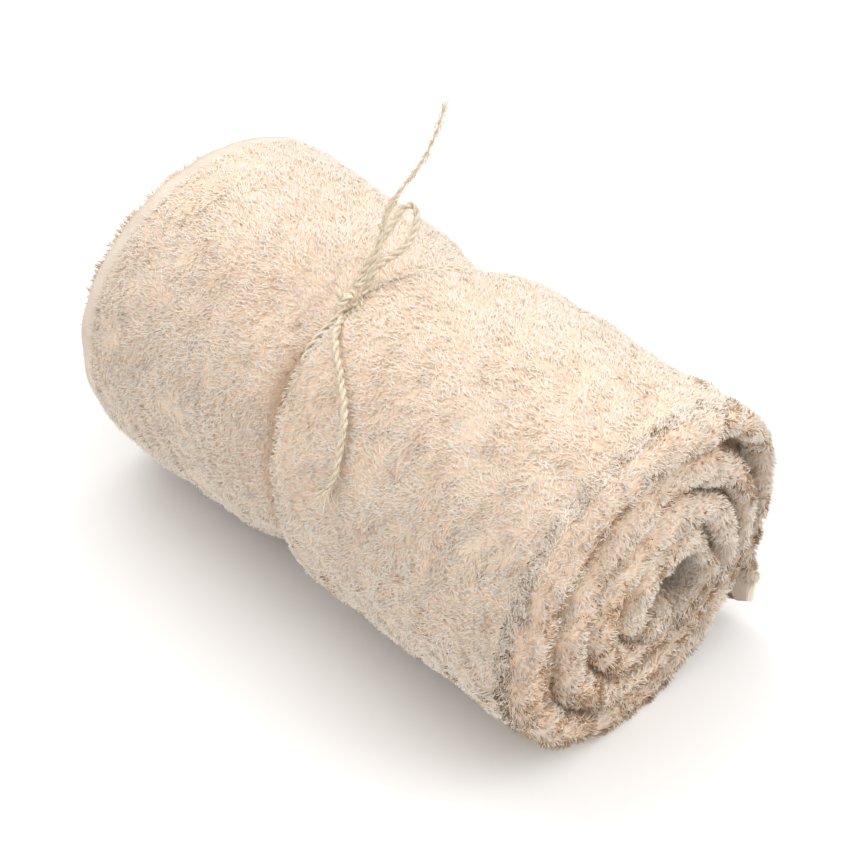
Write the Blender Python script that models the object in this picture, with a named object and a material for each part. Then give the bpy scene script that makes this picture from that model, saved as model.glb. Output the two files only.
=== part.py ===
"""A bath towel, folded in half along its length, rolled up and tied at the waist with jute twine.

The roll lies along X. Its folded end is at +X, and its open, hemmed end at -X. It rests on a
small flat spot under it, at z = 0. Metres, +Z up.

The towel is wound as a spiral about a heart that lies low and to the back. A point of the
winding is given by an unwrapped angle in degrees, TURN_END at the loose outer end and 360 less
for each turn further in. The angle is measured about the heart, from -Y (the front) over the top.
"""

import math

import bmesh
import bpy

# The roll.
LENGTH = 0.345
HALF = LENGTH / 2
RADIUS = 0.0965
AXIS_Z = 0.0945  # height of the roll's own axis
HEART_Y, HEART_Z = 0.019, 0.0735  # what the spiral winds about
TURNS = 5.0  # turns down to the heart
TURN_END = 582.0  # the loose end: low at the back
TURN_SPLIT = 528.0  # where the loose end leaves the roll
TURN_CORE = TURN_END - 360 * 4 - 60  # the innermost edge
SECTORS = 50  # sections in a whole turn of the winding
STEP = 360 / SECTORS

# The waist that the twine draws in.
WAIST_X = -0.0235
WAIST_FAR = 0.030  # its slope on the far side is long
WAIST_NEAR = 0.0115  # and on the near side steep

GAP = 0.0004
TWINE = 0.0038

# Where the roll's middle lies, so that the whole roll is centred over the origin.
PLACE = (0.0004, 0.0002, 0.0)

# The knot, and the twine's routes from it.
KNOT_ANGLE = 72.5  # about the roll's axis
KNOT_X = -0.0195
KNOT_LIFT = 0.0108
KNOT_SIZE = (0.0130, 0.0120, 0.0094)
TWINE_END = 0.0030  # the standing end has lost some of its twist

END_UP = [  # x, y, z from the knot's middle (m): a stiff end that stands up and leans back
    (0.0015, 0.0058, 0.0055),
    (0.0036, 0.0100, 0.0086),
    (0.0038, 0.0176, 0.0200),
    (0.0012, 0.0299, 0.0420),
    (0.0038, 0.0410, 0.0543),
    (0.0058, 0.0500, 0.0645),
    (0.0058, 0.0584, 0.0760),
    (0.0050, 0.0640, 0.0858),
]

BOW_LOOP = [  # x, y, z from the knot's middle (m): a narrow bow that stands off the cloth
    (0.0034, 0.0080, -0.0004),
    (0.0026, 0.0140, 0.0040),
    (0.0010, 0.0224, 0.0094),
    (0.0032, 0.0330, 0.0130),
    (0.0042, 0.0400, 0.0160),
    (0.0026, 0.0463, 0.0196),
    (-0.0010, 0.0515, 0.0240),
    (-0.0056, 0.0534, 0.0274),
    (-0.0092, 0.0500, 0.0267),
    (-0.0080, 0.0430, 0.0226),
    (-0.0072, 0.0350, 0.0186),
    (-0.0052, 0.0260, 0.0134),
    (-0.0038, 0.0170, 0.0070),
    (-0.0032, 0.0084, 0.0012),
]

END_HANGING = [  # x (m), angle about the roll's axis (degrees), middle above the cloth (m)
    (-0.0150, 67.2, 0.0034),
    (-0.0085, 62.0, 0.0030),
    (-0.0027, 58.7, 0.0027),
    (0.0064, 54.6, 0.0027),
    (0.0136, 51.1, 0.0027),
    (0.0212, 47.1, 0.0027),
    (0.0290, 41.4, 0.0027),
    (0.0335, 34.8, 0.0027),
    (0.0363, 27.6, 0.0027),
    (0.0350, 22.5, 0.0027),
]

# How the last turn's outline departs from a round one: it steps down past the loose end.
OUTLINE = [  # unwrapped angle (degrees), share of the round radius
    (222, 0.860),
    (246, 0.950),
    (270, 1.005),
    (300, 1.010),
    (345, 1.000),
    (390, 1.010),
    (440, 0.990),
    (480, 1.005),
    (520, 1.000),
    (552, 1.030),
    (582, 1.075),
]

# How deep the twine bites, by angle about the roll's axis.
BITE = [  # angle (degrees), depth (m)
    (0, 0.0070),
    (45, 0.0095),
    (80, 0.0120),
    (120, 0.0085),
    (180, 0.0070),
    (270, 0.0115),
    (360, 0.0070),
]

# Sections along the roll, from the open end to the folded end.
SECTIONS = [  # distance from the open end (m), drawn in at the rim (m), fullness (m)
    (0.0020, 0.0024, 0.0000),
    (0.0070, 0.0006, 0.0000),
    (0.0200, 0.0000, 0.0006),
    (0.0500, 0.0000, 0.0012),
    (0.0850, 0.0000, 0.0008),
    (0.1100, 0.0000, 0.0000),
    (0.1280, 0.0000, 0.0000),
    (0.1400, 0.0000, 0.0000),
    (0.1485, 0.0000, 0.0000),
    (0.1545, 0.0000, 0.0004),
    (0.1600, 0.0000, 0.0010),
    (0.1670, 0.0000, 0.0016),
    (0.1760, 0.0000, 0.0020),
    (0.1950, 0.0000, 0.0020),
    (0.2300, 0.0000, 0.0012),
    (0.2750, 0.0000, 0.0006),
    (0.3100, 0.0000, 0.0004),
    (0.3280, 0.0008, 0.0000),
    (0.3340, 0.0024, 0.0000),
]

# Across one turn of an end face, from its outer gap to its inner one.
FOLD = [  # share of the turn, how far back it lies: folded end (m), open end (m)
    (0.00, 0.0110, 0.0030),
    (0.12, 0.0045, 0.0008),
    (0.34, 0.0008, 0.0000),
    (0.66, 0.0008, 0.0012),
    (0.88, 0.0050, 0.0004),
]

# The loose end: two layers of cloth, thinner toward their hems.
LOOSE_END = [  # share of the way to the hem, thickness (m), held off the roll (m)
    (0.00, 0.0136, 0.0000),
    (0.60, 0.0125, 0.0002),
    (0.85, 0.0105, 0.0014),
    (1.00, 0.0080, 0.0036),
]

# How far each turn stands out at the folded end, by the unwrapped angle.
STAND_OUT = [  # unwrapped angle (degrees), distance (m)
    (-1200, -0.0040),
    (-560, -0.0020),
    (-200, -0.0015),
    (160, -0.0020),
    (300, -0.0030),
    (440, 0.0000),
    (500, 0.0000),
    (582, -0.0010),
]

WAIST_LINE = [  # angle about the roll's axis (degrees), how far to +X the twine runs from its place at the knot (m)
    (0, 0.0165),
    (20, 0.0095),
    (40, 0.0025),
    (56, 0.0000),
    (75, 0.0000),
    (130, 0.0130),
    (200, 0.0130),
    (270, 0.0160),
    (340, 0.0190),
    (360, 0.0165),
]

FLARE = 0.018  # the corner that shows hangs this much further off


def table(rows, at, column=1):
    """The column's value, eased from row to row."""
    if at <= rows[0][0]:
        return rows[0][column]
    for low, high in zip(rows, rows[1:]):
        if at <= high[0]:
            t = (at - low[0]) / (high[0] - low[0])
            t = t * t * (3 - 2 * t)
            return low[column] + (high[column] - low[column]) * t
    return rows[-1][column]


def to_round(angle):
    """How far the round outline is from the heart, in this direction."""
    dy, dz = -math.cos(math.radians(angle)), math.sin(math.radians(angle))
    oy, oz = HEART_Y, HEART_Z - AXIS_Z
    b = dy * oy + dz * oz
    return -b + math.sqrt(b * b - oy * oy - oz * oz + RADIUS * RADIUS)


def tightness(turn):
    return 1 - (TURN_END - turn) / (360 * TURNS)


def winding(turn):
    """Distance from the heart to the outer side of the winding."""
    last = turn
    while last < 222:
        last += 360
    while last > 582:
        last -= 360
    envelope = to_round(last) * table(OUTLINE, last) / tightness(last)
    return envelope * tightness(turn)


def waist(x, y, z):
    """How far the twine draws the cloth in here."""
    round_angle = math.degrees(math.atan2(z - AXIS_Z, -y)) % 360
    off = x - (WAIST_X + table(WAIST_LINE, round_angle))
    width = WAIST_FAR if off < 0 else WAIST_NEAR
    return table(BITE, round_angle) * math.exp(-((off / width) ** 2))


def at(turn, x, lift=0.0, full=0.0):
    """A point on the outer side of the winding, lifted off it, and drawn in at the waist."""
    angle = math.radians(turn)
    dy, dz = -math.cos(angle), math.sin(angle)
    r = winding(turn)
    y, z = HEART_Y + dy * r, HEART_Z + dz * r
    r += lift + full - waist(x, y, z)
    y, z = HEART_Y + dy * r, HEART_Z + dz * r
    return (x, y, max(z, 0.0))


def material(name, colour, roughness):
    made = bpy.data.materials.new(name)
    made.use_nodes = True
    shader = made.node_tree.nodes["Principled BSDF"]
    shader.inputs["Base Color"].default_value = (*colour, 1)
    shader.inputs["Roughness"].default_value = roughness
    shader.inputs["Metallic"].default_value = 0.0
    return made


def mesh_object(name, points, faces, look):
    mesh = bpy.data.meshes.new(name)
    mesh.from_pydata(points, [], faces)
    mesh.materials.append(look)
    mesh.shade_smooth()
    mesh.set_sharp_from_angle(angle=math.radians(50))
    obj = bpy.data.objects.new(name, mesh)
    bpy.context.collection.objects.link(obj)
    return obj


def build_roll(look):
    """One closed solid: the outer turn from end to end, and the winding's relief on both ends."""
    points, faces = [], []
    found = {}

    def point(key, place):
        if key not in found:
            found[key] = len(points)
            points.append(place)
        return found[key]

    first_core = TURN_SPLIT - 360 * 4
    outer = [TURN_SPLIT - STEP * (SECTORS - k) for k in range(SECTORS + 1)]

    def across(turn, row):
        """The place across the turn's thickness, on an end face."""
        share = FOLD[row][0]
        r = winding(turn) * (1 - share) + winding(turn - 360) * share
        return r

    def end_point(end, turn, row):
        # The inner gap of a turn is the outer gap of the turn inside it.
        if row == len(FOLD):
            turn, row = turn - 360, 0
        key = (end, turn, row)
        if key in found:
            return found[key]
        back = FOLD[row][1 if end > 0 else 2]
        out = table(STAND_OUT, turn) if end > 0 else 0.0
        rim = row == 0 and turn > TURN_SPLIT - 360 + 1e-6
        if row == 0 and abs(turn - (TURN_SPLIT - 360)) < 1e-6:
            rim = True
        r = across(turn, row)
        angle = math.radians(turn)
        if rim:
            r -= 0.0062 if end > 0 else 0.0045
            back = 0.0062 if end > 0 else 0.0006
        elif turn > TURN_SPLIT - 360 and row == 1:
            r -= 0.0020 if end > 0 else 0.0016
        y, z = HEART_Y - math.cos(angle) * r, HEART_Z + math.sin(angle) * r
        x = end * (HALF - back + (out if end > 0 else 0.0))
        return point(key, (x, y, max(z, 0.004 if rim else 0.0)))

    # The two end faces, a strip of the winding at a time.
    for end in (1, -1):
        turn = TURN_SPLIT
        while turn > first_core + 1e-6:
            for row in range(len(FOLD)):
                quad = [
                    end_point(end, turn, row),
                    end_point(end, turn - STEP, row),
                    end_point(end, turn - STEP, row + 1),
                    end_point(end, turn, row + 1),
                ]
                faces.append(quad if end > 0 else quad[::-1])
            turn -= STEP
        # The heart: a shallow hollow.
        middle = point((end, "heart"), (end * (HALF - (0.016 if end > 0 else 0.006)), HEART_Y, HEART_Z))
        ring = [end_point(end, first_core - STEP * k, 0) for k in range(SECTORS + 1)]
        # Along the core's own radial edge, the ring closes through the strip's last column.
        edge = [end_point(end, first_core, row) for row in range(len(FOLD) + 1)]
        loop = ring[:-1] + edge[::-1][:-1]
        for a, b in zip(loop, loop[1:] + loop[:1]):
            faces.append([middle, a, b] if end > 0 else [middle, b, a])

    # The outer turn, from end to end.
    rows = []
    for distance, drawn, full in SECTIONS:
        x = distance - HALF
        rows.append([point(("side", x, turn), at(turn, x, -drawn, full)) for turn in outer])
    left = [end_point(-1, turn, 0) for turn in outer]
    right = [end_point(1, turn, 0) for turn in outer]
    rows = [left] + rows + [right]
    for a, b in zip(rows, rows[1:]):
        for k in range(len(outer) - 1):
            faces.append([a[k], b[k], b[k + 1], a[k + 1]])

    # The step down that the loose end leaves behind.
    steps = [[end_point(-1, TURN_SPLIT, row) for row in range(len(FOLD) + 1)]]
    for k, (distance, drawn, full) in enumerate(SECTIONS):
        x = distance - HALF
        top, low = points[rows[k + 1][-1]], points[rows[k + 1][0]]
        line = [rows[k + 1][-1]]
        for row in range(1, len(FOLD)):
            share = FOLD[row][0]
            place = tuple(t + (w - t) * share for t, w in zip(top, low))
            line.append(point(("step", x, row), place))
        line.append(rows[k + 1][0])
        steps.append(line)
    steps.append([end_point(1, TURN_SPLIT, row) for row in range(len(FOLD) + 1)])
    for a, b in zip(steps, steps[1:]):
        for row in range(len(FOLD)):
            faces.append([a[row], b[row], b[row + 1], a[row + 1]])
    return mesh_object("towel_roll", points, faces, look)


def flare(share, x):
    """How far the corner by the folded end stands off on top of that (m)."""
    along = min(max((share - 0.45) / 0.55, 0.0), 1.0)
    toward = min(max((x - 0.050) / 0.110, 0.0), 1.0)
    return FLARE * along * along * (3 - 2 * along) * toward * toward * (3 - 2 * toward)


def build_loose_end(look):
    """The outer turn's last stretch: two layers of cloth with their hems, down to the corner that shows."""
    turns = [TURN_SPLIT + 0.5 + (TURN_END - 0.5 - TURN_SPLIT) * k / 9 for k in range(10)]
    stations = [distance for distance, _, _ in SECTIONS] + [LENGTH - 0.0035]
    points, faces = [], []
    count = len(turns)
    for n, distance in enumerate(stations):
        x = distance - HALF
        rim = n in (0, len(stations) - 1)
        inner, outer = [], []
        for k, turn in enumerate(turns):
            share = k / (count - 1)
            t, off = table(LOOSE_END, share), table(LOOSE_END, share, 2)
            squeeze = 0.30 * t if rim else 0.0
            last = 0.25 * t if k == count - 1 else 0.0
            full = table(SECTIONS, distance, 2) + GAP + 0.0008 + off + flare(share, x)
            under = at(turn - 360, x, squeeze + last, full)
            over = at(turn - 360, x, t - squeeze - last, full)
            inner.append(under)
            outer.append((over[0], over[1], max(over[2], 0.0035)))
        points += inner + outer[::-1]
    size = 2 * count
    for n in range(len(stations) - 1):
        for k in range(size):
            a, b = n * size + k, n * size + (k + 1) % size
            faces.append([a, b, b + size, a + size])
    for n, side in ((0, -1), (len(stations) - 1, 1)):
        for k in range(count - 1):
            a, b = n * size + k, n * size + k + 1
            c, d = n * size + size - 2 - k, n * size + size - 1 - k
            quad = [a, b, c, d]
            faces.append(quad if side > 0 else quad[::-1])
    return mesh_object("towel_loose_end", points, faces, look)


def smooth_route(route, spacing):
    """Points evenly spaced along a smooth curve through the route (centripetal Catmull-Rom)."""
    from mathutils import Vector

    knots = [Vector(p) for p in route]
    knots = [knots[0] * 2 - knots[1]] + knots + [knots[-1] * 2 - knots[-2]]
    fine = []
    for i in range(1, len(knots) - 2):
        p0, p1, p2, p3 = knots[i - 1 : i + 3]
        t0 = 0.0
        t1 = t0 + math.sqrt((p1 - p0).length)
        t2 = t1 + math.sqrt((p2 - p1).length)
        t3 = t2 + math.sqrt((p3 - p2).length)
        for k in range(24):
            t = t1 + (t2 - t1) * k / 24
            a1 = p0 * ((t1 - t) / (t1 - t0)) + p1 * ((t - t0) / (t1 - t0))
            a2 = p1 * ((t2 - t) / (t2 - t1)) + p2 * ((t - t1) / (t2 - t1))
            a3 = p2 * ((t3 - t) / (t3 - t2)) + p3 * ((t - t2) / (t3 - t2))
            b1 = a1 * ((t2 - t) / (t2 - t0)) + a2 * ((t - t0) / (t2 - t0))
            b2 = a2 * ((t3 - t) / (t3 - t1)) + a3 * ((t - t1) / (t3 - t1))
            fine.append(b1 * ((t2 - t) / (t2 - t1)) + b2 * ((t - t1) / (t2 - t1)))
    fine.append(knots[-2])
    lengths = [0.0]
    for a, b in zip(fine, fine[1:]):
        lengths.append(lengths[-1] + (b - a).length)
    count = max(2, round(lengths[-1] / spacing))
    out, j = [], 0
    for k in range(count + 1):
        want = lengths[-1] * k / count
        while j < len(lengths) - 2 and lengths[j + 1] < want:
            j += 1
        part = (want - lengths[j]) / max(lengths[j + 1] - lengths[j], 1e-9)
        out.append(fine[j].lerp(fine[j + 1], min(max(part, 0), 1)))
    return out


def tube(name, route, diameter, look, spacing=None):
    curve = bpy.data.curves.new(name, "CURVE")
    curve.dimensions = "3D"
    places = smooth_route(route, spacing or diameter * 2.2)
    spline = curve.splines.new("POLY")
    spline.points.add(len(places) - 1)
    for target, place in zip(spline.points, places):
        target.co = (*place, 1)
    curve.bevel_depth = diameter / 2
    curve.bevel_resolution = 2
    curve.use_fill_caps = True
    curve.materials.append(look)
    obj = bpy.data.objects.new(name, curve)
    bpy.context.collection.objects.link(obj)
    return obj


def outer_turn(angle):
    """The unwrapped angle of the outermost cloth in this direction."""
    angle %= 360
    while angle < 222:
        angle += 360
    return angle


def outer_surface(turn, x):
    """A point on the outermost cloth: the loose end where it lies, and else the roll."""
    full = table(SECTIONS, x + HALF, 2)
    if turn <= TURN_SPLIT:
        return at(turn, x, 0.0, full)
    share = (turn - TURN_SPLIT) / (TURN_END - TURN_SPLIT)
    full += table(LOOSE_END, share, 2) + GAP + 0.0008 + flare(share, x)
    return at(turn - 360, x, table(LOOSE_END, share), full)


def on_waist(round_angle, lift, along=0.0):
    """A point just off the bottom of the waist, in this direction from the roll's axis."""
    x = WAIST_X + table(WAIST_LINE, round_angle % 360) + along
    angle = math.radians(round_angle)
    dy, dz = -math.cos(angle), math.sin(angle)
    low, high = 0.05, 0.13
    # The surface's distance from the roll's axis, by halving.
    for _ in range(40):
        mid = (low + high) / 2
        y, z = dy * mid, AXIS_Z + dz * mid
        from_heart = math.degrees(math.atan2(z - HEART_Z, -(y - HEART_Y)))
        turn = outer_turn(from_heart)
        place = outer_surface(turn, x)
        if math.hypot(place[1] - HEART_Y, place[2] - HEART_Z) > math.hypot(y - HEART_Y, z - HEART_Z):
            low = mid
        else:
            high = mid
    r = high + lift
    return (x, dy * r, AXIS_Z + dz * r)


def taut_ring(lift, along, count=60):
    """The twine's middle about the waist: pulled taut, so it spans any hollow on the way."""
    angles = [360 * k / count for k in range(count)]
    reach = []
    for angle in angles:
        place = on_waist(angle, lift, along)
        reach.append(math.hypot(place[1], place[2] - AXIS_Z))
    step = math.radians(360 / count)
    for _ in range(300):
        for k in range(count):
            a, b = reach[k - 1], reach[(k + 1) % count]
            chord = a * b * math.sin(2 * step) / ((a + b) * math.sin(step))
            reach[k] = max(reach[k], chord)
    out = []
    for angle, r in zip(angles, reach):
        dy, dz = -math.cos(math.radians(angle)), math.sin(math.radians(angle))
        x = WAIST_X + table(WAIST_LINE, angle) + along
        out.append((x, dy * r, max(AXIS_Z + dz * r, TWINE / 2 + 0.0006)))
    return out


def build_band(name, along, look):
    """The twine about the waist, a closed ring."""
    ring = taut_ring(TWINE / 2 + 0.0026, along)
    curve = bpy.data.curves.new(name, "CURVE")
    curve.dimensions = "3D"
    spline = curve.splines.new("POLY")
    spline.points.add(len(ring) - 1)
    spline.use_cyclic_u = True
    for target, place in zip(spline.points, ring):
        target.co = (*place, 1)
    curve.bevel_depth = TWINE / 2
    curve.bevel_resolution = 2
    curve.materials.append(look)
    obj = bpy.data.objects.new(name, curve)
    bpy.context.collection.objects.link(obj)
    return obj


def ball(name, place, sizes, tilt, look):
    mesh = bpy.data.meshes.new(name)
    form = bmesh.new()
    bmesh.ops.create_uvsphere(form, u_segments=14, v_segments=8, radius=0.5)
    # The tie's turns leave a shallow waist about the ball.
    for vertex in form.verts:
        waisted = 1 - 0.16 * math.exp(-((vertex.co.x / 0.10) ** 2))
        vertex.co.y *= waisted
        vertex.co.z *= waisted
        vertex.co.x *= sizes[0]
        vertex.co.y *= sizes[1]
        vertex.co.z *= sizes[2]
    form.to_mesh(mesh)
    form.free()
    mesh.materials.append(look)
    mesh.shade_smooth()
    obj = bpy.data.objects.new(name, mesh)
    obj.location = place
    obj.rotation_euler = (tilt, 0, 0)
    bpy.context.collection.objects.link(obj)
    return obj


def surface_point(x, round_angle, lift):
    """A point off the outermost cloth, at this direction from the roll's axis."""
    place = on_waist(round_angle, lift, x - WAIST_X - table(WAIST_LINE, round_angle % 360))
    return place


for old in list(bpy.data.objects):
    bpy.data.objects.remove(old)

terry = material("terry_cream", (0.80, 0.65, 0.50), 0.95)
jute = material("jute_straw", (0.66, 0.52, 0.36), 0.85)

pieces = [
    build_roll(terry),
    build_loose_end(terry),
    build_band("twine_wrap_far", -0.0021, jute),
    build_band("twine_wrap_near", 0.0025, jute),
]

knot = on_waist(KNOT_ANGLE, KNOT_LIFT, KNOT_X - WAIST_X)
pieces.append(ball("twine_knot", knot, KNOT_SIZE, -math.radians(90 - KNOT_ANGLE), jute))
for name, diameter, rows in (("twine_end_up", TWINE_END, END_UP), ("twine_bow_loop", TWINE, BOW_LOOP)):
    route = [tuple(k + offset for k, offset in zip(knot, row)) for row in rows]
    pieces.append(tube(name, route, diameter, jute))
hanging = [surface_point(x, angle, lift) for x, angle, lift in END_HANGING]
pieces.append(tube("twine_end_hanging", hanging, TWINE, jute))

centre = bpy.data.objects.new("centre", None)
centre.location = PLACE
bpy.context.collection.objects.link(centre)
for piece in pieces:
    piece.parent = centre
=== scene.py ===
"""A rolled terry bath towel tied with jute twine: the looks.

The towel is one sheet, folded in half along its length and wound into a spiral. Its pile is
short strands of yarn, combed into soft swirls. The twine is two twisted plies with loose hairs.
"""

import math

import bpy
import numpy as np
from mathutils import Matrix, Vector


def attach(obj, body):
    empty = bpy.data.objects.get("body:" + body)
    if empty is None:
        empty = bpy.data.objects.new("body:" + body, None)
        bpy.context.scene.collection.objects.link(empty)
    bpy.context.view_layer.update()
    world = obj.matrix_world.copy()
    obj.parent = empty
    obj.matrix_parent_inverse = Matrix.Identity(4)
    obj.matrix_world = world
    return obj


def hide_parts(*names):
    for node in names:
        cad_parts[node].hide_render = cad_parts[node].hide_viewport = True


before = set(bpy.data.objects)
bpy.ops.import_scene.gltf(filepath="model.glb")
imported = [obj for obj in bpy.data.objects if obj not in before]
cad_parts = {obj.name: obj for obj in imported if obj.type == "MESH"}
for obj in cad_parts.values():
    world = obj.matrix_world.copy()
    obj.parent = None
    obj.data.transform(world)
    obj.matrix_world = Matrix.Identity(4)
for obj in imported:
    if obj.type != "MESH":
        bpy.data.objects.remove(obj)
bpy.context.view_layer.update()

# ---------------------------------------------------------------- the roll's own sizes, as built
LENGTH = 0.345
HALF = LENGTH / 2
RADIUS = 0.0965
AXIS_Z = 0.0945
HEART_Y, HEART_Z = 0.019, 0.0735
TURNS = 5.0
TURN_END = 582.0
TURN_SPLIT = 528.0
TURN_CORE = -812.0
WAIST_X = -0.0235
WAIST_FAR = 0.030
WAIST_NEAR = 0.0115
GAP = 0.0004
PLACE = np.array([0.0004, 0.0002, 0.0])
TWINE = 0.0038
KNOT_ANGLE = 72.5
KNOT_X = -0.0195
KNOT_LIFT = 0.0108
TWINE_END = 0.0030
PILE = 0.0022  # the cloth lies this far under the pile's tips

OUTLINE = [(222, 0.860), (246, 0.950), (270, 1.005), (300, 1.010), (345, 1.000), (390, 1.010),
           (440, 0.990), (480, 1.005), (520, 1.000), (552, 1.030), (582, 1.075)]
BITE = [(0, 0.0070), (45, 0.0095), (80, 0.0120), (120, 0.0085), (180, 0.0070), (270, 0.0115), (360, 0.0070)]
WAIST_LINE = [(0, 0.0165), (20, 0.0095), (40, 0.0025), (56, 0.0000), (75, 0.0000), (130, 0.0130), (200, 0.0130),
              (270, 0.0160), (340, 0.0190), (360, 0.0165)]
FULLNESS = [(0.0, 0.0), (0.02, 0.0006), (0.05, 0.0012), (0.085, 0.0008), (0.11, 0.0), (0.1485, 0.0),
            (0.1545, 0.0004), (0.16, 0.0010), (0.167, 0.0016), (0.176, 0.0020), (0.195, 0.0020),
            (0.23, 0.0012), (0.275, 0.0006), (0.31, 0.0004), (0.328, 0.0), (0.345, 0.0)]
LOOSE_END = [(0.00, 0.0136, 0.0000), (0.60, 0.0125, 0.0002), (0.85, 0.0105, 0.0014), (1.00, 0.0080, 0.0036)]
STAND_OUT = [(-1200, -0.0040), (-560, -0.0020), (-200, -0.0015), (160, -0.0020), (300, -0.0030),
             (440, 0.0008), (478, 0.0000), (505, -0.0040), (540, -0.0045), (582, -0.0010)]
END_UP = [(0.0015, 0.0058, 0.0055), (0.0036, 0.0100, 0.0086), (0.0038, 0.0176, 0.0200), (0.0012, 0.0299, 0.0420),
          (0.0038, 0.0410, 0.0543), (0.0058, 0.0500, 0.0645), (0.0058, 0.0584, 0.0760), (0.0050, 0.0640, 0.0858)]
BOW_LOOP = [(0.0034, 0.0080, -0.0004), (0.0026, 0.0140, 0.0040), (0.0010, 0.0224, 0.0094), (0.0032, 0.0330, 0.0130),
            (0.0042, 0.0400, 0.0160), (0.0026, 0.0463, 0.0196), (-0.0010, 0.0515, 0.0240), (-0.0056, 0.0534, 0.0274),
            (-0.0092, 0.0500, 0.0267), (-0.0080, 0.0430, 0.0226), (-0.0072, 0.0350, 0.0186),
            (-0.0052, 0.0260, 0.0134), (-0.0038, 0.0170, 0.0070), (-0.0032, 0.0084, 0.0012)]
END_HANGING = [(-0.0150, 67.2, 0.0034), (-0.0085, 62.0, 0.0030), (-0.0027, 58.7, 0.0027), (0.0064, 54.6, 0.0027),
               (0.0136, 51.1, 0.0027), (0.0212, 47.1, 0.0027), (0.0290, 41.4, 0.0027), (0.0335, 34.8, 0.0027),
               (0.0363, 27.6, 0.0027), (0.0350, 22.5, 0.0027)]


# ---------------------------------------------------------------- small numeric helpers
def table(rows, at, column=1):
    """The column's value, eased from row to row."""
    xs = np.array([r[0] for r in rows], float)
    ys = np.array([r[column] for r in rows], float)
    at = np.asarray(at, float)
    k = np.clip(np.searchsorted(xs, at, side="right") - 1, 0, len(xs) - 2)
    t = np.clip((at - xs[k]) / (xs[k + 1] - xs[k]), 0, 1)
    t = t * t * (3 - 2 * t)
    return ys[k] + (ys[k + 1] - ys[k]) * t


def ease(a, b, v):
    """From 0 at a to 1 at b."""
    t = np.clip((np.asarray(v, float) - a) / (b - a), 0, 1)
    return t * t * (3 - 2 * t)


class Field:
    """A smooth random field, about -1 to 1: waves of one wavelength in many directions."""

    def __init__(self, seed, wavelength, waves=14):
        rng = np.random.default_rng(seed)
        d = rng.normal(size=(waves, 3))
        d /= np.linalg.norm(d, axis=1)[:, None]
        self.k = d * (2 * np.pi / wavelength) * rng.uniform(0.7, 1.35, (waves, 1))
        self.p = rng.uniform(0, 2 * np.pi, waves)
        self.n = math.sqrt(2.0 / waves)

    def __call__(self, places):
        flat = places.reshape(-1, 3)
        out = np.zeros(len(flat))
        for k, p in zip(self.k, self.p):
            out += np.sin(flat @ k + p)
        return (out * self.n * 0.7).reshape(places.shape[:-1])


def unit(v):
    return v / np.maximum(np.linalg.norm(v, axis=-1, keepdims=True), 1e-12)


# ---------------------------------------------------------------- the winding
def to_round(angle):
    a = np.radians(angle)
    dy, dz = -np.cos(a), np.sin(a)
    oy, oz = HEART_Y, HEART_Z - AXIS_Z
    b = dy * oy + dz * oz
    return -b + np.sqrt(b * b - oy * oy - oz * oz + RADIUS * RADIUS)


def winding(turn):
    """Distance from the heart to the outer side of the winding."""
    turn = np.asarray(turn, float)
    last = TURN_END - np.mod(TURN_END - turn, 360)
    envelope = to_round(last) * table(OUTLINE, last) / (1 - (TURN_END - last) / (360 * TURNS))
    return envelope * (1 - (TURN_END - turn) / (360 * TURNS))


def line_of(round_angle):
    """How far to +X the twine runs from its place at the knot."""
    return table(WAIST_LINE, np.mod(round_angle, 360))


def waist(x, y, z):
    """How far the twine draws the cloth in."""
    a = np.mod(np.degrees(np.arctan2(z - AXIS_Z, -y)), 360)
    off = x - (WAIST_X + line_of(a))
    width = np.where(off < 0, WAIST_FAR, WAIST_NEAR)
    return table(BITE, a) * np.exp(-((off / width) ** 2)), off, a


# Along the roll from the waist (m), share drawn in, where the cloth really is (m): it swells over the twine,
# and (last column) hangs over it lower down in front.
NEAR_SIDE = [
    (0.000, 1.00, 0.0000, 0.0000), (0.004, 1.00, 0.0048, 0.0058), (0.006, 0.86, 0.0066, 0.0074),
    (0.008, 0.62, 0.0070, 0.0072), (0.010, 0.40, 0.0066, 0.0058), (0.012, 0.24, 0.0066, 0.0046),
    (0.014, 0.13, 0.0078, 0.0046), (0.017, 0.06, 0.0108, 0.0076), (0.021, 0.02, 0.0154, 0.0134),
    (0.028, 0.00, 0.0244, 0.0238), (0.034, 0.00, 0.0326, 0.0324), (0.040, 0.00, 0.0400, 0.0400)]


def groove(x, y, z):
    """How far the visible cloth is drawn in, and how far it moves along the roll."""
    a = np.mod(np.degrees(np.arctan2(z - AXIS_Z, -y)), 360)
    off = x - (WAIST_X + line_of(a))
    at_off = np.array([r[0] for r in NEAR_SIDE])
    share = np.interp(off, at_off, [r[1] for r in NEAR_SIDE])
    moved = np.interp(off, at_off, [r[2] - r[0] for r in NEAR_SIDE])
    hung = np.interp(off, at_off, [r[3] - r[0] for r in NEAR_SIDE])
    low_front = ease(60, 44, a) + ease(330, 345, a)
    moved = moved * (1 - low_front) + hung * low_front
    # It hangs over the twine in front, and slopes up from it behind.
    front = 1 - ease(88, 112, a) * (1 - ease(300, 330, a))
    slope = np.exp(-((np.maximum(off, 0) / 0.020) ** 2))
    share = share * front + slope * (1 - front)
    far = np.exp(-((np.minimum(off + 0.003, 0) / (WAIST_FAR - 0.003)) ** 2))
    near_twine = np.exp(-((np.minimum(off + 0.0046, 0) / 0.0048) ** 2))
    far = far * (1 - 0.45 * low_front * (1 - near_twine))
    about = np.mod(a + 180, 360) - 180
    deep = (table(BITE, a) + 0.0014 + 0.0062 * np.exp(-(((about - 16) / 40) ** 2))) * np.where(off < 0, far, share)
    return deep, moved * front, off, a


FLARE = 0.0235


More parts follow.
